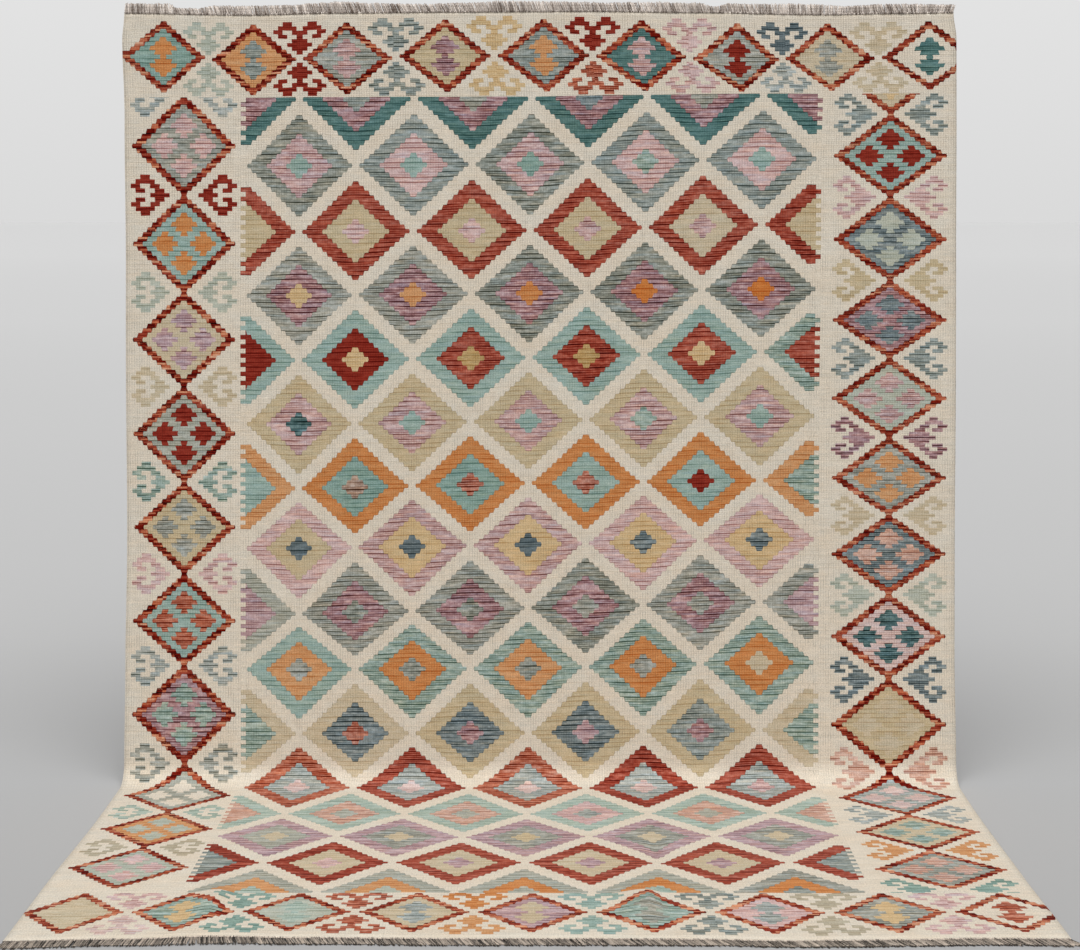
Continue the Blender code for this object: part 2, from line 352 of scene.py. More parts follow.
def eased(at, places, values):
    """The values given at some places, joined by slopes that level out at each of them."""
    places, values = np.asarray(places), np.asarray(values)
    after = np.clip(np.searchsorted(places, at, side="right"), 1, len(places) - 1)
    start, end = places[after - 1], places[after]
    share = np.clip((at - start) / (end - start), 0, 1)
    share = share * share * (3 - 2 * share)
    return values[after - 1] + (values[after] - values[after - 1]) * share


def hump(distance, reach):
    """1 at no distance and 0 from the reach on: the square of a cosine."""
    return np.cos(np.clip(distance / reach, -1, 1) * pi / 2) ** 2


def lengths_along():
    """How far down the cloth the bend starts and ends, and where the cloth ends."""
    bend_starts = HANG_HEIGHT - BEND_RADIUS
    bend_ends = bend_starts + BEND_RADIUS * pi / 2
    return bend_starts, bend_ends, bend_ends + FLOOR_REACH - BEND_RADIUS


def ridge_height(x, out):
    """The sum of the ridges' humps, each the product of one across and one along the ridge."""
    height = np.zeros_like(x)
    for ridge in RIDGES:
        away = x - ridge["x"]
        across = hump(away, np.where(away < 0, ridge["left"], ridge["right"]))
        height += ridge["height"] * across * hump(out - ridge["out"], ridge["half_length"])
    return height


def cloth_back(x, down):
    """The cloth's back: straight down, round a quarter circle, then out along the floor.

    The top edge's waves and the billow move the hanging part, and the ridges and the front edge's
    waves move the part on the floor. A product of two sines gives the slack cloth faint waves,
    which only ever lift the part on the floor.
    """
    bend_starts, bend_ends, end = lengths_along()
    angle = np.clip((down - bend_starts) / BEND_RADIUS, 0, pi / 2)
    on_floor = np.clip(down - bend_ends, 0, None)
    hung = np.clip(down / bend_starts, 0, 1)
    near_end = np.clip((down - end + FRONT_FADE) / FRONT_FADE, 0, 1)
    waves = RIPPLE * (1 + np.sin(11 * x + 3 * down) * np.sin(9 * down - 2 * x + 1))

    out = BEND_RADIUS * (1 - np.cos(angle)) + on_floor
    out += (BILLOW + 2 * waves) * np.sin(pi * hung) ** 2
    out += eased(x, FRONT_EDGE["x"], FRONT_EDGE["reach"]) * near_end**2
    z = -np.minimum(down, bend_starts) - BEND_RADIUS * np.sin(angle)
    z += eased(x, TOP_EDGE["x"], TOP_EDGE["rise"]) * np.clip(1 - down / EDGE_FADE, 0, 1) ** 2
    z += ridge_height(x, out) * (on_floor > 0)
    z += waves * hump(on_floor - FLOOR_RIPPLE, FLOOR_RIPPLE) * (on_floor > 0)
    return np.stack([x, -out, z], axis=-1)


def on_cloth(x, down):
    """The cloth's back at places on the loom: the selvedges' waves and the yarns' drift added."""
    left = eased(down, SIDE_EDGES["down"], SIDE_EDGES["left"]) - LEFT_SELVEDGE
    right = eased(down, SIDE_EDGES["down"], SIDE_EDGES["right"]) - RIGHT_SELVEDGE
    near_left = np.clip(1 - (x - LEFT_SELVEDGE) / SELVEDGE_FADE, 0, 1) ** 2
    near_right = np.clip(1 - (RIGHT_SELVEDGE - x) / SELVEDGE_FADE, 0, 1) ** 2
    slant = eased(down, WARP_SLANT["down"], WARP_SLANT["right"])
    slant = slant * eased(x, (FIELD_LEFT, 0.0, FIELD_RIGHT, RIGHT_SELVEDGE), (0.0, 0.8, 1.0, 0.0))
    chain_slant = eased(down, CHAIN_SLANT["down"], CHAIN_SLANT["left"])
    chain_slant = chain_slant * eased(x, CHAIN_SLANT["x"], (0.0, 1.0, 1.0, 0.0))
    moved = left * near_left + right * near_right + slant + chain_slant
    return cloth_back(x + moved, down + drift(x, down))


def drift(x, down):
    """How far the weft lies down the cloth from its place on the loom.

    It slopes from the middle to both sides, in straight lines up to WEFT_REACH away, bows at the
    diamonds, and is pulled down in a few places, each the product of a hump across and one along.
    """
    across = np.clip((x - WEFT_MIDDLE) / WEFT_REACH, -1, 1)
    left, right = (eased(down, WEFT_SLOPES["down"], WEFT_SLOPES[side]) for side in ("left", "right"))
    moved = left * np.clip(-across, 0, 1) + right * np.clip(across, 0, 1) + BOW * bowing(x, down)
    for pull in PULLS:
        along = hump(down - pull["down"], pull["along"])
        moved += pull["amount"] * hump(x - pull["x"], pull["across"]) * along
    return moved


def bowing(x, down):
    """-1 to 1: the wefts bow up over a diamond's upper half, and down under its lower half.

    In the field and the bands it is a cosine across times a sine down, and in the chains a hump
    across times a sine down, each with the spacing of its diamonds and none at their middles.
    """
    rows = running(down, FIELD_DOWN, field_row_numbers())
    units = running(x, FIELD_ACROSS, np.arange(len(FIELD_ACROSS)) / 2)
    inside = np.clip(np.minimum(x - FIELD_LEFT, FIELD_RIGHT - x) / BOW_FADE, 0, 1)
    wave = np.cos(2 * pi * units) * np.sin(pi * rows / ROWS_APART) * inside
    for chain in (LEFT_CHAIN, RIGHT_CHAIN):
        turns = running(down, chain["down"], np.arange(len(chain["down"]), dtype=float))
        wave += hump(x - chain["x"], CHAIN_REACH) * np.sin(2 * pi * turns)
    wave *= (rows > 0) & (rows < FIELD_ROWS - 1)
    for band in (TOP_BAND, FRONT_BAND):
        turns = running(x, band["x"], np.arange(len(band["x"]), dtype=float))
        rows = np.clip((down - band["down"]) / band["row"], -BAND_HALF, BAND_HALF)
        wave += np.cos(2 * pi * turns) * np.sin(pi * rows / BAND_HALF)
    return wave


# ---- The pattern's places on the loom ----

def running(at, places, numbers):
    """Numbers given at some places, joined by straight lines that go on beyond the ends."""
    places, numbers = np.asarray(places), np.asarray(numbers)
    after = np.clip(np.searchsorted(places, at), 1, len(places) - 1)
    slope = (numbers[after] - numbers[after - 1]) / (places[after] - places[after - 1])
    return numbers[after - 1] + (at - places[after - 1]) * slope


def field_row_numbers():
    """The row number at the centre of each row of diamonds; the ends are the field's own edges."""
    numbers = np.arange(len(FIELD_DOWN)) * float(ROWS_APART)
    numbers[0] -= 0.5
    numbers[-1] = FIELD_ROWS - 0.5
    return numbers


def loom_lines():
    """Where the mesh's columns and rows run: on the field's pattern rows, closer than 15 mm."""
    end = lengths_along()[-1]
    stretches = (
        (LEFT_SELVEDGE, FIELD_LEFT - STEP, 19),
        (FIELD_LEFT - STEP, FIELD_LEFT, 1),
        (FIELD_LEFT, FIELD_RIGHT, 100),
        (FIELD_RIGHT, FIELD_RIGHT + STEP, 1),
        (FIELD_RIGHT + STEP, RIGHT_SELVEDGE, 21),
    )
    across = [np.linspace(start, stop, steps, endpoint=False) for start, stop, steps in stretches]
    across = np.concatenate([*across, [RIGHT_SELVEDGE]])
    rows = running(np.arange(FIELD_ROWS + 1) - 0.5, field_row_numbers(), FIELD_DOWN)
    band = np.arange(2 * BAND_HALF) - BAND_HALF + 0.5
    top, front = (band * part["row"] + part["down"] for part in (TOP_BAND, FRONT_BAND))
    down = np.concatenate([
        [0], top[top > 0.001], rows, front[(front > rows[-1]) & (front < end - 0.002)], [end]
    ])
    return across, down


def yarn_colour(values):
    """A yarn's red, green and blue in linear light, with its streakiness as the fourth."""
    red, green, blue, streaks = values
    return (*(np.array([red, green, blue]) / 255) ** 2.2, streaks)


def yarns(names, count=0):
    """The colours of yarns named in a row; the last one goes on up to the count."""
    names = names.split()
    names += names[-1:] * (count - len(names))
    return np.array([yarn_colour(YARNS[name]) for name in names])


def motif(units, rows, lot, horn_units, horn_rows, chart, beyond, sizes, hearts, colours):
    """What the material needs to know on each corner and face, by attribute name.

    units and rows are a corner's place from the middle of its diamond, and horn_units and
    horn_rows from the middle of its horned motif. beyond is how many units a corner lies outside
    the field. sizes are the orders of the diamond's outer and inner shapes, 1 for a mottled
    outline, and hearts are the rows and units from the middle to its small lozenges.
    """
    whole, faces = np.ones(units.shape), np.ones((len(units), 1))
    ring, fill, heart, horn = colours
    return dict(
        diamond=np.stack([units, rows, whole * lot], axis=-1),
        horn=np.stack([whole * horn_units, whole * horn_rows, whole * chart], axis=-1),
        beyond=whole * beyond,
        sizes=faces * sizes,
        hearts=faces * hearts,
        ring_yarn=faces * ring,
        fill_yarn=faces * fill,
        heart_yarn=faces * heart,
        horn_yarn=faces * horn,
    )


def field_motifs(x, down):
    """Nested diamonds in staggered rows: each face belongs to the nearest, by units plus rows.

    The ones that the field's sides cut in half have no heart and no tips.
    """
    units = running(x, FIELD_ACROSS, np.arange(len(FIELD_ACROSS)) * UNITS_APART / 2)
    rows = running(down, FIELD_DOWN, field_row_numbers())
    middle_units, middle_rows = units.mean(axis=1), rows.mean(axis=1)
    last_number, last_pair = len(FIELD_ACROSS) // 2, len(FIELD_DOWN) // 2 - 1
    best = None
    for stagger in (0, 1):
        place = (middle_units - stagger * UNITS_APART / 2) / UNITS_APART
        line = (middle_rows - stagger * ROWS_APART) / (2 * ROWS_APART)
        number = np.clip(np.rint(place), 0, last_number - stagger)
        pair = np.clip(np.rint(line), 0, last_pair)
        away = abs(place - number) + abs(line - pair)
        row = 2 * pair + stagger
        found = np.stack([away, number, row, UNITS_APART * number + stagger * UNITS_APART / 2])
        best = found if best is None else np.where(found[0] < best[0], found, best)
    number, row = best[1].astype(int), best[2].astype(int)
    ring, fill, heart = (
        np.array([yarns(names[part], last_number + 1) for names in FIELD_YARNS])[row, number]
        for part in range(3)
    )
    cut = (row % 2 == 0) & ((number == 0) | (number == last_number))
    tip = cut & (abs(middle_rows - row * ROWS_APART) > np.where(number == 0, *HALF_TIPS))
    beyond = np.maximum(FIELD_LEFT - x, x - FIELD_RIGHT) / UNIT + FAR_OFF * tip[:, None]
    return motif(
        units=units - best[3][:, None],
        rows=rows - row[:, None] * ROWS_APART,
        lot=(row * 7 + number)[:, None],
        horn_units=FAR_OFF,
        horn_rows=0,
        chart=len(HORN_CHARTS) - 1,
        beyond=beyond,
        sizes=(10, 6, 0),
        hearts=np.stack([FAR_OFF * cut, FAR_OFF + 0 * row, ROWS_APART + 0 * row], axis=-1),
        colours=(ring, fill, heart, yarns("cream")),
    )


def chain_motifs(x, down, chain):
    """Outlined diamonds one under the other, with four lozenges, and horned pairs at the waists.

    Nothing lies below the last waist, and a horned motif's rows end within its chart.
    """
    centres = np.array(chain["down"])
    centres = centres - drift(np.full_like(centres, chain["x"]), centres)
    numbers = (np.arange(len(centres)) + chain["first"]) * float(CHAIN_APART)
    rows = running(down, centres, numbers) - chain["first"] * CHAIN_APART
    units = (x - chain["x"]) / chain["unit"]
    middle = rows.mean(axis=1) / CHAIN_APART
    number = np.clip(np.rint(middle), 0, len(centres) - 1).astype(int)
    waist = np.clip(np.rint(middle + 0.5), 0, len(centres)).astype(int)
    last = chain["last"] + 0.4
    past = rows.mean(axis=1) > (len(centres) - 0.5) * CHAIN_APART
    return motif(
        units=units,
        rows=rows - number[:, None] * CHAIN_APART,
        lot=number[:, None] + chain["dye_lot"],
        horn_units=units,
        horn_rows=np.clip(rows - (waist[:, None] - 0.5) * CHAIN_APART, -last, last),
        chart=chain["chart"],
        beyond=np.where(past, FAR_OFF, -FAR_OFF)[:, None],
        sizes=(10, 8, 1),
        hearts=(4, 12, CHAIN_APART / 2),
        colours=(yarns("cream"), yarns(chain["fill"])[number], yarns(chain["lozenge"])[number],
                 yarns(chain["horn"])[waist]),
    )


def band_motifs(x, down, band):
    """Outlined diamonds side by side, with two lozenges, and horned motifs between them.

    A tail, one row high, goes on from the first diamond's left corner as far as the cloth does.
    """
    units = running(x, band["x"], np.arange(len(band["x"])) * float(BAND_APART))
    rows = (down - band["down"]) / band["row"]
    middle = units.mean(axis=1) / BAND_APART
    number = np.clip(np.rint(middle), 0, len(band["x"]) - 1).astype(int)
    gap = np.clip(np.rint(middle + 0.5), 0, len(band["x"])).astype(int)
    below = rows.mean(axis=1)[:, None] > 0
    horn = np.where(below, yarns(band["horn_below"])[gap], yarns(band["horn"])[gap])
    tail = (units.mean(axis=1) < band["tail"]) & (abs(rows.mean(axis=1) + 1) < 0.5)
    units = np.where(tail[:, None], float(band["tail"]), units)
    return motif(
        units=(units - number[:, None] * BAND_APART) * BAND_NARROW,
        rows=rows - np.array(band["diamond_drop"])[number][:, None],
        lot=number[:, None] + band["dye_lot"],
        horn_units=units - (gap[:, None] - 0.5) * BAND_APART,
        horn_rows=rows - np.where(below, 0, np.array(band["horn_drop"])[gap][:, None]),
        chart=BAND_CHART,
        beyond=-FAR_OFF,
        sizes=(8, 6, 1),
        hearts=(2, FAR_OFF, 14),
        colours=(yarns("cream"), yarns(band["fill"])[number], yarns(band["lozenge"])[number], horn),
    )


def corners(values):
    """The values of a grid's points at the four corners of each face: (faces, 4, ...)."""
    four = np.stack([values[:-1, :-1], values[1:, :-1], values[1:, 1:], values[:-1, 1:]], axis=2)
    return four.reshape(-1, *four.shape[2:])


def pattern(x, down):
    """The motifs of each face, region by region: the bands, the chains, and the field between."""
    x, down = corners(x), corners(down)
    middle_x, middle_down = x.mean(axis=1), down.mean(axis=1)
    top, front = middle_down < FIELD_DOWN[0], middle_down > FIELD_DOWN[-1]
    left, right = middle_x < FIELD_LEFT - STEP, middle_x > FIELD_RIGHT + STEP
    between = ~top & ~front
    regions = (
        (top, band_motifs, (TOP_BAND,)),
        (front, band_motifs, (FRONT_BAND,)),
        (between & left, chain_motifs, (LEFT_CHAIN,)),
        (between & right, chain_motifs, (RIGHT_CHAIN,)),
        (between & ~left & ~right, field_motifs, ()),
    )
    whole = {}
    for faces, motifs, details in regions:
        for name, values in motifs(x[faces], down[faces], *details).items():
            whole.setdefault(name, np.zeros((len(x), *values.shape[1:])))[faces] = values
    return whole


# ---- Meshes ----

# The attributes with one value for each face; the others have one for each corner
ON_FACES = ("sizes", "hearts", "ring_yarn", "fill_yarn", "heart_yarn", "horn_yarn")
# The type of an attribute, and its field for the values, by how many numbers it holds
KINDS = {1: ("FLOAT", "value"), 3: ("FLOAT_VECTOR", "vector"), 4: ("FLOAT_COLOR", "color")}


def add_object(name, data):
    made = bpy.data.objects.new(name, data)
    bpy.context.scene.collection.objects.link(made)
    return made


def add_mesh(name, points, faces, material, uv=None, attributes=None):
    """A mesh object at the origin, with a UV map in metres and the attributes given."""
    mesh = bpy.data.meshes.new(name)
    mesh.from_pydata(points.reshape(-1, 3).tolist(), [], faces)
    if uv is not None:
        mesh.uv_layers.new(name="weave").data.foreach_set("uv", uv.astype(np.float32).ravel())
    for key, values in (attributes or {}).items():
        on_faces = key in ON_FACES
        kind, field = KINDS[values.shape[-1] if on_faces or values.ndim == 3 else 1]
        made = mesh.attributes.new(key, kind, "FACE" if on_faces else "CORNER")
        made.data.foreach_set(field, values.astype(np.float32).ravel())
    mesh.materials.append(material)
    mesh.shade_smooth()
    mesh.validate()
    return add_object(name, mesh)


def add_cloth(material):
    """The loom's grid laid on the cloth's back, and given its thickness towards the front."""
    across, down = loom_lines()
    x, down = np.meshgrid(across, down)
    number = np.arange(x.size).reshape(x.shape)
    places = corners(np.stack([x, -down], axis=-1))
    faces = corners(number).tolist()
    cloth = add_mesh("kilim_cloth", on_cloth(x, down), faces, material, places, pattern(x, down))
    solidify = cloth.modifiers.new("thickness", "SOLIDIFY")
    solidify.thickness = THICKNESS
    solidify.offset = 1
    return cloth


def tubes(path, radius, turns, sides, up):
    """Two-ply yarns: a ring of points round each point of each path, closed at both ends.

    path is (yarns, points, 3). The ring is a circle with two lobes, radius * (1 + 0.22 cos 2a),
    and turns by `turns` (in radians) along the yarn. Gives the points, the faces as blocks of
    point numbers, and each point's share of the ring, length along the yarn, and yarn number.
    """
    along = np.gradient(path, axis=1)
    along /= np.linalg.norm(along, axis=-1, keepdims=True)
    side = np.cross(along, up)
    side /= np.linalg.norm(side, axis=-1, keepdims=True)
    third = np.cross(side, along)
    angle = np.arange(sides) * 2 * pi / sides
    reach = radius[..., None] * (1 + 0.22 * np.cos(2 * (angle - turns[..., None])))
    ring = side[:, :, None] * (reach * np.cos(angle))[..., None]
    ring = ring + third[:, :, None] * (reach * np.sin(angle))[..., None]
    points = path[:, :, None] + ring

    count, steps = path.shape[:2]
    number = np.arange(count * steps * sides).reshape(count, steps, sides)
    turned = np.roll(number, -1, axis=2)
    walls = np.stack([number[:, :-1], turned[:, :-1], turned[:, 1:], number[:, 1:]], axis=-1)
    caps = np.concatenate([number[:, 0, ::-1], number[:, -1]])
    stretch = np.linalg.norm(np.diff(path, axis=1, prepend=path[:, :1]), axis=-1)
    share, far, lot = np.broadcast_arrays(
        angle / (2 * pi), np.cumsum(stretch, axis=1)[..., None], np.arange(count)[:, None, None]
    )
    flat = np.stack([share, far], axis=-1).reshape(-1, 2)
    return points.reshape(-1, 3), (walls.reshape(-1, 4), caps), flat, lot.reshape(-1)


def joined(parts):
    """Several sets of tubes as one: points, faces, and a UV place and lot for each corner."""
    points, faces, places, lots, start, first = [], [], [], [], 0, 0
    for part_points, blocks, flat, lot in parts:
        order = np.concatenate([block.ravel() for block in blocks])
        places.append(flat[order])
        lots.append(lot[order] + first)
        for block in blocks:
            faces += (block + start).tolist()
        points.append(part_points)
        start += len(part_points)
        first += lot.max() + 1
    return np.concatenate(points), faces, np.concatenate(places), np.concatenate(lots)


def fringe(name, locks, down, material):
    """A twined strip across the cloth at a place down it, and loose warp ends that lean from it.

    Each end runs outward from the edge by its length, moves sideways by its lean times a power of
    the share of its length, wavers by a sine, and lies somewhere within the height of the pile.
    """
    draw = np.random.default_rng(locks["seed"])
    outward, up = np.array(locks["outward"], float), np.array(locks["up"], float)
    sideways = np.array([1.0, 0, 0])
    place = np.linspace(LEFT_SELVEDGE + END_INSET, RIGHT_SELVEDGE - END_INSET, STRAND_COUNT)
    place = place + draw.normal(0, STRAY, STRAND_COUNT)
    lock, within = np.divmod((place - LEFT_SELVEDGE) / locks["width"], 1)
    # 0 in a lock's middle to 1 at its edges: where the strands between locks get painted shade
    lock, parting_shade = np.clip(lock, 0, None).astype(int), abs(2 * within - 1) ** 4
    lock_lean, lock_length, lock_tone = draw.normal(0, 1, (3, lock.max() + 1))[:, lock, None]
    own_lean, own_length, own_tone = draw.normal(0, 1, (3, STRAND_COUNT, 1))
    phase, waver = draw.uniform(0, 2 * pi, (2, STRAND_COUNT, 1))
    deep = draw.uniform(PILE_FLOOR, locks["pile"], (STRAND_COUNT, 1))
    under = deep < PILE_FLOOR + (locks["pile"] - PILE_FLOOR) * UNDER_SHARE

    share = np.linspace(0, 1, STRAND_POINTS)[None, :]
    length = np.interp(place, locks["x"], locks["length"])[:, None]
    length = length * (1 + 0.02 * lock_length + 0.03 * own_length)
    length = length * np.where(under, locks["stick"], 1)
    lean = eased(place, locks["x"], locks["lean"])[:, None]
    lean = lean + locks["leaning"][0] * lock_lean + locks["leaning"][1] * own_lean
    path = on_cloth(place, np.full_like(place, down))[:, None]
    path = path + (length * share)[..., None] * outward
    along = lean * share**1.3 + WAVER_ALONG * np.sin(phase + 5 * share)
    path = path + along[..., None] * sideways
    path = path + (deep + WAVER_UP * np.sin(waver + 4 * share))[..., None] * up
    radius = np.full((STRAND_COUNT, STRAND_POINTS), STRAND_RADIUS) * (1 - STRAND_TAPER * share**2)
    strands = tubes(path, radius, phase + STRAND_TWIST * share, STRAND_SIDES, up)
    tone = 0.5 + locks["tones"][0] * lock_tone + locks["tones"][1] * own_tone
    # painted shade between the locks darkens the strands at their edges
    tone = np.clip(tone[:, 0] - locks["parting_shade"] * parting_shade, 0, 1)
    # painted shade: the strands lowest in the pile get a darker tone of their own
    tone = np.where(under[:, 0], locks["under"], tone)

    line = np.linspace(LEFT_SELVEDGE, RIGHT_SELVEDGE, STRIP_POINTS)
    strip = on_cloth(line, np.full_like(line, down)) + STRIP_OUT * outward + STRIP_UP * up
    radius = np.full((1, STRIP_POINTS), STRIP_RADIUS)
    strip = tubes(strip[None], radius, line[None] * STRIP_TWIST, STRIP_SIDES, up)
    points, faces, places, lots = joined([strands, strip])
    tone = np.append(tone, STRIP_TONE)
    return add_mesh(name, points, faces, material, places, dict(lot=lots, tone=tone[lots]))


# ---- Materials ----

class Signal:
    """A number that shader nodes work out. Arithmetic on it adds Math nodes."""

    def __init__(self, tree, socket):
        self.tree, self.socket = tree, socket

    def math(self, operation, *others):
        node = self.tree.nodes.new("ShaderNodeMath")
        node.operation = operation
        for place, value in zip(node.inputs, (self, *others)):
            join(self.tree, value, place)
        return Signal(self.tree, node.outputs[0])

    __add__ = partialmethod(math, "ADD")
    __sub__ = partialmethod(math, "SUBTRACT")
    __mul__ = partialmethod(math, "MULTIPLY")
    __lt__ = partialmethod(math, "LESS_THAN")
    __gt__ = partialmethod(math, "GREATER_THAN")
    minimum = partialmethod(math, "MINIMUM")
    maximum = partialmethod(math, "MAXIMUM")
    size = partialmethod(math, "ABSOLUTE")
    whole = partialmethod(math, "ROUND")

    def between(self, low, high):
        """0 at the low value, 1 at the high one, a straight ramp between."""
        node = self.tree.nodes.new("ShaderNodeMapRange")
        for name, value in (("Value", self), ("From Min", low), ("From Max", high)):
            join(self.tree, value, node.inputs[name])
        return Signal(self.tree, node.outputs["Result"])


def join(tree, value, place):
    """Links a signal or a socket to an input, or sets the input to a plain value."""
    if isinstance(value, Signal):
        value = value.socket
    if isinstance(value, bpy.types.NodeSocket):
        tree.links.new(value, place)
    else:
        place.default_value = value


def attribute(tree, name, output="Fac"):
    node = tree.nodes.new("ShaderNodeAttribute")
    node.attribute_name = name
    return Signal(tree, node.outputs[output])


def numbers_of(tree, name):
    """The three numbers that an attribute holds."""
    return parts_of(tree, attribute(tree, name, "Vector"))


def uv_place(tree):
    """The place on the mesh's UV map."""
    node = tree.nodes.new("ShaderNodeUVMap")
    node.uv_map = "weave"
    return parts_of(tree, Signal(tree, node.outputs[0]))[:2]


def parts_of(tree, vector):
    """The X, Y and Z of a vector."""
    node = tree.nodes.new("ShaderNodeSeparateXYZ")
    join(tree, vector, node.inputs[0])
    return [Signal(tree, output) for output in node.outputs]


def vector_of(tree, *values):
    node = tree.nodes.new("ShaderNodeCombineXYZ")
    for value, place in zip(values, node.inputs):
        join(tree, value, place)
    return Signal(tree, node.outputs[0])


def noise(tree, place, detail, roughness=0.5):
    """Soft noise, 0 to 1, at a place given by three values."""
    node = tree.nodes.new("ShaderNodeTexNoise")
    join(tree, vector_of(tree, *place), node.inputs["Vector"])
    for name, value in (("Scale", 1.0), ("Detail", detail), ("Roughness", roughness)):
        node.inputs[name].default_value = value
    return Signal(tree, node.outputs["Fac"])


def mixed(tree, share, first, second, blend="MIX"):
    """Two colours mixed: none of the second at share 0, all of it at 1."""
    node = tree.nodes.new("ShaderNodeMix")
    node.data_type = "RGBA"
    node.blend_type = blend
    join(tree, share, node.inputs["Factor"])
    colours = [place for place in node.inputs if place.type == "RGBA"]
    join(tree, first, colours[0])
    join(tree, second, colours[1])
    return Signal(tree, next(place for place in node.outputs if place.type == "RGBA"))


def ramp(tree, share, stops, kind="LINEAR"):
    """The colour and alpha of a ramp, whose stops are (where it is, colour with alpha)."""
    node = tree.nodes.new("ShaderNodeValToRGB")
    node.color_ramp.interpolation = kind
    elements = node.color_ramp.elements
    while len(elements) < len(stops):
        elements.new(1.0)
    for element, (place, colour) in zip(elements, stops):
        element.position = place
        element.color = colour
    join(tree, share, node.inputs["Fac"])
    return [Signal(tree, output) for output in node.outputs]


def new_material(name, roughness, sheen):
    material = bpy.data.materials.new(name)
    material.use_nodes = True
    shader = material.node_tree.nodes["Principled BSDF"]
    for key, value in (
        ("Roughness", roughness), ("Sheen Weight", sheen), ("Specular IOR Level", 0.06)
    ):
        shader.inputs[key].default_value = value
    return material, material.node_tree, shader


def bumped(tree, shader, height, strength, distance):
    node = tree.nodes.new("ShaderNodeBump")
    node.inputs["Strength"].default_value = strength
    node.inputs["Distance"].default_value = distance
    join(tree, height, node.inputs["Height"])
    tree.links.new(node.outputs["Normal"], shader.inputs["Normal"])


def stepped_half(order, rows):
    """Half the width, in units, of a stepped diamond at some rows from its middle."""
    return rows * -3 + order * 3 + 2


def diamond_parts(tree, side, rows):
    """1 inside each part of a diamond: its ring, fill and hearts, and painted shade in the slits at
    their sides.

    side and rows are the place from its middle. Each part has a stepped half width, and within a
    step its side leans. Outside the field only every other row goes on, by one step.
    """
    outer, inner, outlined = numbers_of(tree, "sizes")
    heart_rows, heart_units, half_period = numbers_of(tree, "hearts")
    wrapped = rows.math("WRAP", half_period, half_period * -1)
    row = wrapped.whole()
    rows_away = row.size()
    away = side.size() + (wrapped.size() - rows_away) * SIDE_LEAN
    outer_half = stepped_half(outer, rows_away)
    inner_half = stepped_half(inner, rows_away)
    upper = stepped_half(HEART_ORDER, (rows_away - heart_rows).size())
    beside = stepped_half(HEART_ORDER, rows_away)
    in_field = attribute(tree, "beyond") < row.math("MODULO", 2.0).size() * 3
    in_ring = (away < outer_half) * in_field
    in_fill = (away < inner_half) * in_field
    in_heart = ((away < upper).maximum((away - heart_units).size() < beside)) * in_field
    upright = (away - outer_half).size().minimum((away - inner_half).size())
    # painted shade in the slits: their colour is darkened by a quarter
    slit = (upright < SLIT) * in_ring.maximum(away < outer_half + 0.3) * 0.25
    return in_ring, in_fill, in_heart, slit, row, outlined


def horned_motif(tree, ragged):
    """1 inside a horned motif, by its chart: a ramp with four numbers for each row away."""
    units, rows, chart = numbers_of(tree, "horn")
    away = (units + ragged).size()
    entry = (chart + rows.whole().size() + 0.5) * (1 / len(HORN_CHARTS))
    stops = [
        (number / len(HORN_CHARTS), tuple(value / CHART_SIZE for value in stretches))
        for number, stretches in enumerate(HORN_CHARTS)
    ]
    first_three, fourth = ramp(tree, entry, stops, "CONSTANT")
    split = tree.nodes.new("ShaderNodeSeparateColor")
    join(tree, first_three, split.inputs[0])
    first, second, third = (Signal(tree, output) * CHART_SIZE for output in split.outputs)
    near = (away > first - 0.01) * (away < second)
    far = (away > third) * (away < fourth * CHART_SIZE)
    return near.maximum(far)


def mottled_outline(tree, units, rows, row, lot, down):
    """The outline's yarns in short pieces at random, more of the pale ones in the front band."""
    dice = tree.nodes.new("ShaderNodeTexWhiteNoise")
    dice.noise_dimensions = "3D"
    block = (units * 0.16 + row * 0.37).math("FLOOR")
    join(tree, vector_of(tree, (rows * 2).math("FLOOR"), block, lot), dice.inputs["Vector"])
    start, stops = 0.0, []
    for share, colour in OUTLINE_YARNS:
        stops.append((start, yarn_colour((*colour, 1))))
        start += share
    paler = down.between(-2.40, -2.46) * 0.14
    return ramp(tree, Signal(tree, dice.outputs["Value"]) + paler, stops, "CONSTANT")[0]


def dye_depth(tree, across, passes, own, streaky):
    """1 for a yarn's own colour, more where it is darker.

    Dark lines lie where two passes of weft meet, more of them at every other one. Long and short
    streaks run along each pass.
    """
    seam, one = passes.whole(), passes.math("FLOOR")
    by_seam = noise(tree, (across * 13, seam * 3.17, own), 1.0, 0.3)
    lines = (passes - seam).size().between(0.42, 0.08) * by_seam.between(0.38, 0.62)
    lines = lines * (seam.math("MODULO", 2.0).size() * 0.6 + 0.4)
    long = noise(tree, (across * 9, one * 5.31, own + 40), 1.0) - 0.5
    short = noise(tree, (across * 90, one * 7.7, own + 80), 0.0) - 0.5
    return ((lines * 1.25 + long * 0.40 + short * 0.45 - 0.16) * streaky + 1.0).maximum(0.6)


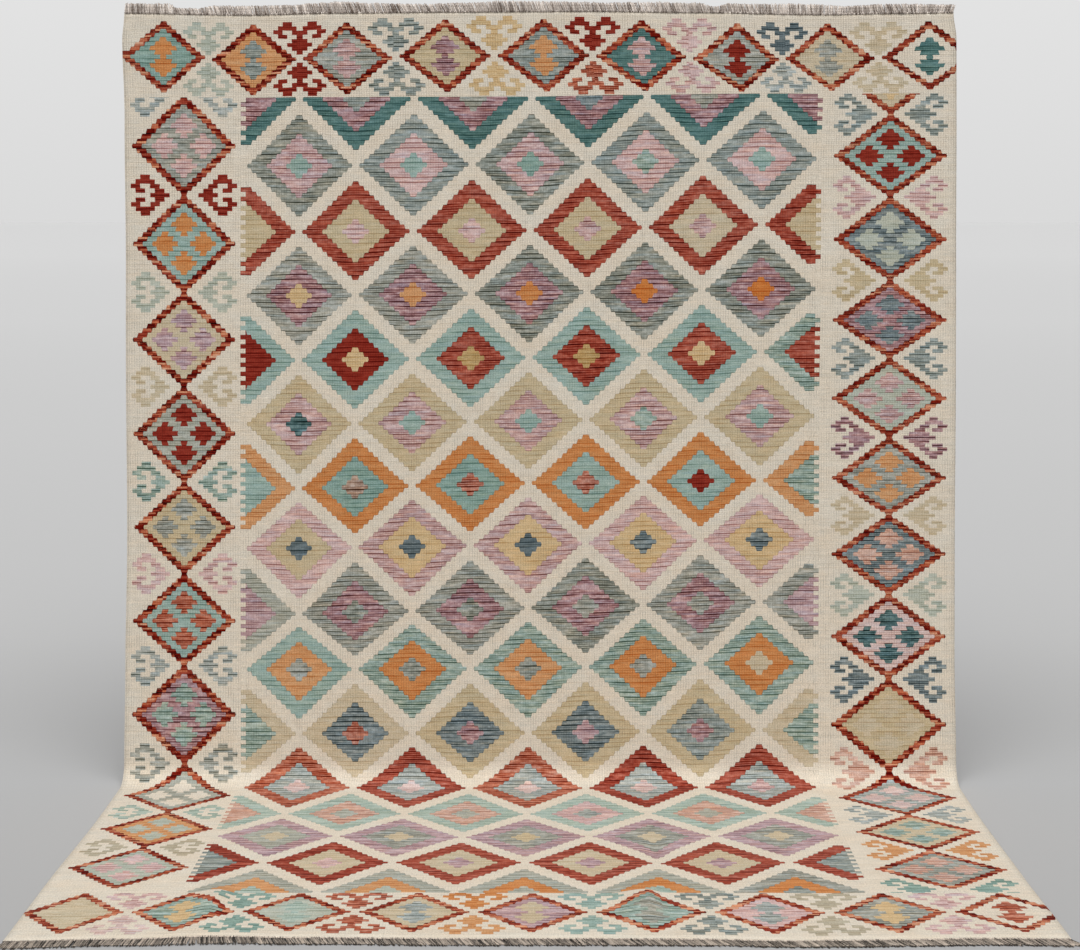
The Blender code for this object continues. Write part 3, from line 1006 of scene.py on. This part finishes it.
def kilim_wool():
    """The woven pattern, with streaky dyeing, slits at the upright edges of colours, and ribs, with
    painted shade in the slits and in the grooves between the ribs.
    """
    material, tree, shader = new_material("kilim_wool", 0.92, 0.02)
    across, down = uv_place(tree)
    units, rows, lot = numbers_of(tree, "diamond")
    ragged = noise(tree, (across * 60, rows.whole() * 3.7, lot), 1.0) - 0.5
    ragged = ragged * RAGGED
    in_ring, in_fill, in_heart, slit, row, outlined = diamond_parts(tree, units + ragged, rows)
    in_horn = horned_motif(tree, ragged)

    # Each part lies over the ones before it, and its number makes its streaks its own
    *colour, streaky = yarn_colour(YARNS["cream"])
    colour, zone = (*colour, 1), 0
    layers = ((in_ring, "ring_yarn", 1), (in_fill, "fill_yarn", 3), (in_heart, "heart_yarn", 5),
              (in_horn, "horn_yarn", 7))
    for inside, name, number in layers:
        yarn, streaks = attribute(tree, name, "Color"), attribute(tree, name, "Alpha")
        if name == "ring_yarn":
            yarn = mixed(tree, outlined, yarn, mottled_outline(tree, units, rows, row, lot, down))
            streaks = streaks + outlined * 0.75
        colour = mixed(tree, inside, colour, yarn)
        streaky = inside * (streaks - streaky) + streaky
        zone = inside * number + zone
    passes = rows * PASSES
    dyed = tree.nodes.new("ShaderNodeGamma")
    join(tree, colour, dyed.inputs["Color"])
    join(tree, dye_depth(tree, across, passes, lot * 1.7 + zone, streaky), dyed.inputs["Gamma"])

    # Tone and painted shade: painted shade in the grooves between the ribs, fainter on the floor,
    # and in the slits; tones of the passes, fibres and patches
    rib = across * (1 / RIB)
    # painted shade in the grooves between the ribs, also used as their depth for the bump
    groove = (rib.math("FRACT") - 0.5).size().between(0.22, 0.46)
    # the grooves' painted shade is fainter on the part on the floor
    groove = groove * (down.between(-1.75, -1.95) * -0.75 + 1)
    by_rib = noise(tree, (rib.math("FLOOR") * 3.3, down * 25, 1.0), 1.0)
    by_pass = noise(tree, (across * 20, passes.math("FLOOR") * 4.1, 2.0), 1.0) - 0.5
    fibre = noise(tree, (across * 330, down * 480, 0.0), 0.0)
    patch = noise(tree, (across * 9, down * 13, 4.0), 4.0, 0.65) - 0.5
    shade = (fibre - 0.5) * 0.60 + by_pass * 0.22 + patch * 0.16
    shade = shade - groove * by_rib.between(0.35, 0.65) * 0.26 - slit + 1.06
    warmth = by_pass * streaky * 0.35 - patch * 0.16
    tint = vector_of(tree, shade * (warmth + 1), shade, shade * (warmth * -1 + 1))
    colour = mixed(tree, 1.0, Signal(tree, dyed.outputs[0]), tint, "MULTIPLY")
    join(tree, colour, shader.inputs["Base Color"])
    crest = (passes * pi).math("SINE").size()
    bumped(tree, shader, crest * 0.35 - groove * 0.5 + fibre * 0.5 - slit * 2, 0.55, 0.0012)
    return material


def warp_yarn(name, dark, pale):
    """Loose ends of undyed warp: each its own grey, with painted light and shade along the ply lines
    round it, and paler at its tip.
    """
    material, tree, shader = new_material(name, 0.95, 0.1)
    turn, far = uv_place(tree)
    lot, tone = attribute(tree, "lot"), attribute(tree, "tone")
    ply = (turn * (4 * pi) + far * 900).math("SINE")
    patch = noise(tree, (lot * 7.3, far * 90, 2.0), 1.0) - 0.5
    # ply paints light and shade along the twist of the plies
    share = tone + patch * 0.3 + ply * 0.10 + far * 5 - 0.05
    stops = [(0.0, yarn_colour((*dark, 1))), (1.0, yarn_colour((*pale, 1)))]
    join(tree, ramp(tree, share, stops)[0], shader.inputs["Base Color"])
    fibre = noise(tree, (turn * 14, far * 900 + turn * 30, lot), 2.0)
    bumped(tree, shader, fibre + ply * 0.4, 0.7, 0.0008)
    return material


def studio_floor():
    """Pale grey, with painted light: a little lighter the further back it lies."""
    material, tree, shader = new_material("studio_floor", 0.9, 0.0)
    place = tree.nodes.new("ShaderNodeTexCoord")
    _, back, _ = parts_of(tree, Signal(tree, place.outputs["Object"]))
    near, far = FLOOR_GREYS[0][0], FLOOR_GREYS[-1][0]
    stops = [((at - near) / (far - near), (grey, grey, grey, 1)) for at, grey in FLOOR_GREYS]
    join(tree, ramp(tree, back.between(near, far), stops)[0], shader.inputs["Base Color"])
    return material


# ---- Studio ----

CAMERA_PLACE = (0.024, -3.9, -0.501)
PHOTO_WIDTH = 1080
FOCAL_PIXELS = 1622.4
SHIFT_PIXELS = (-11, -253)  # from the camera's level line of sight to the photo's middle
SENSOR = 36.0  # millimetres
# The floor's greys, a painted gradient of light: how far behind the hanging cloth, in metres, and
# how light
FLOOR_GREYS = ((-1.5, 0.37), (0.0, 0.432), (1.4, 0.50), (6.3, 0.535), (18.0, 0.58), (60.0, 0.615))
FLOOR_SIZE = 3000.0  # from its middle to its sides: it ends at the horizon
# The sky: how light it is at the horizon, how much lighter straight up, and how much of its light
# is missing high up at the back
SKY_LEVEL, SKY_RISE, SKY_LOSS = 0.70, 0.49, 0.75
SUN_WIDTH = 40  # degrees
# Name, bearing to the right of straight in front, height above the floor, and strength
SUNS = (("sun_left", -28, 53.5, 0.90), ("sun_right", 28, 53.5, 0.86))


def add_camera():
    camera = bpy.data.cameras.new("camera")
    camera.sensor_width = SENSOR
    camera.lens = FOCAL_PIXELS / PHOTO_WIDTH * SENSOR
    camera.shift_x, camera.shift_y = (shift / PHOTO_WIDTH for shift in SHIFT_PIXELS)
    camera.clip_end = 5000
    holder = add_object("camera", camera)
    holder.location = CAMERA_PLACE
    holder.rotation_euler = (pi / 2, 0, 0)
    bpy.context.scene.camera = holder


def add_sun(name, bearing, height, strength):
    """A distant light in front, with a wide, soft disc; bearing and height in degrees."""
    light = bpy.data.lights.new(name, "SUN")
    light.angle = radians(SUN_WIDTH)
    light.energy = strength
    add_object(name, light).rotation_euler = (radians(90 - height), 0, radians(bearing))


def add_studio():
    """A pale floor out to the horizon, a grey sky, darker high up at the back, and two soft suns."""
    world = bpy.data.worlds.new("studio")
    world.use_nodes = True
    background = world.node_tree.nodes["Background"]
    tree = world.node_tree
    direction = tree.nodes.new("ShaderNodeTexCoord")
    _, back, height = parts_of(tree, Signal(tree, direction.outputs["Generated"]))
    level = height.maximum(0.0) * SKY_RISE + SKY_LEVEL
    high_behind = height.between(0.20, 0.40) * back.between(-0.3, 0.3)
    join(tree, level * (high_behind * -SKY_LOSS + 1), background.inputs["Strength"])
    background.inputs["Color"].default_value = (1, 1, 1, 1)
    bpy.context.scene.world = world
    bpy.context.scene.view_settings.view_transform = "Standard"

    corner = np.array([(-1, -1, 0), (1, -1, 0), (1, 1, 0), (-1, 1, 0)])
    points = corner * FLOOR_SIZE - (0, 0, HANG_HEIGHT)
    floor = add_mesh("studio_floor", points, [[0, 1, 2, 3]], studio_floor())
    for name, bearing, height, strength in SUNS:
        add_sun(name, bearing, height, strength)


def main():
    cloth = add_cloth(kilim_wool())
    top_warp = warp_yarn("warp_ends_top", *TOP_LOCKS["colours"])
    top = fringe("top_fringe", TOP_LOCKS, 0.0, top_warp)
    front_warp = warp_yarn("warp_ends_front", *FRONT_LOCKS["colours"])
    front = fringe("front_fringe", FRONT_LOCKS, lengths_along()[-1], front_warp)
    nodes = ((cloth, "kilim", "woven_wool"), (top, "fringe_top", "warp_ends"),
             (front, "fringe_bottom", "warp_ends"))
    for piece, node, slot in nodes:
        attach(piece, "root")
        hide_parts(node)
    add_studio()
    add_camera()


main()
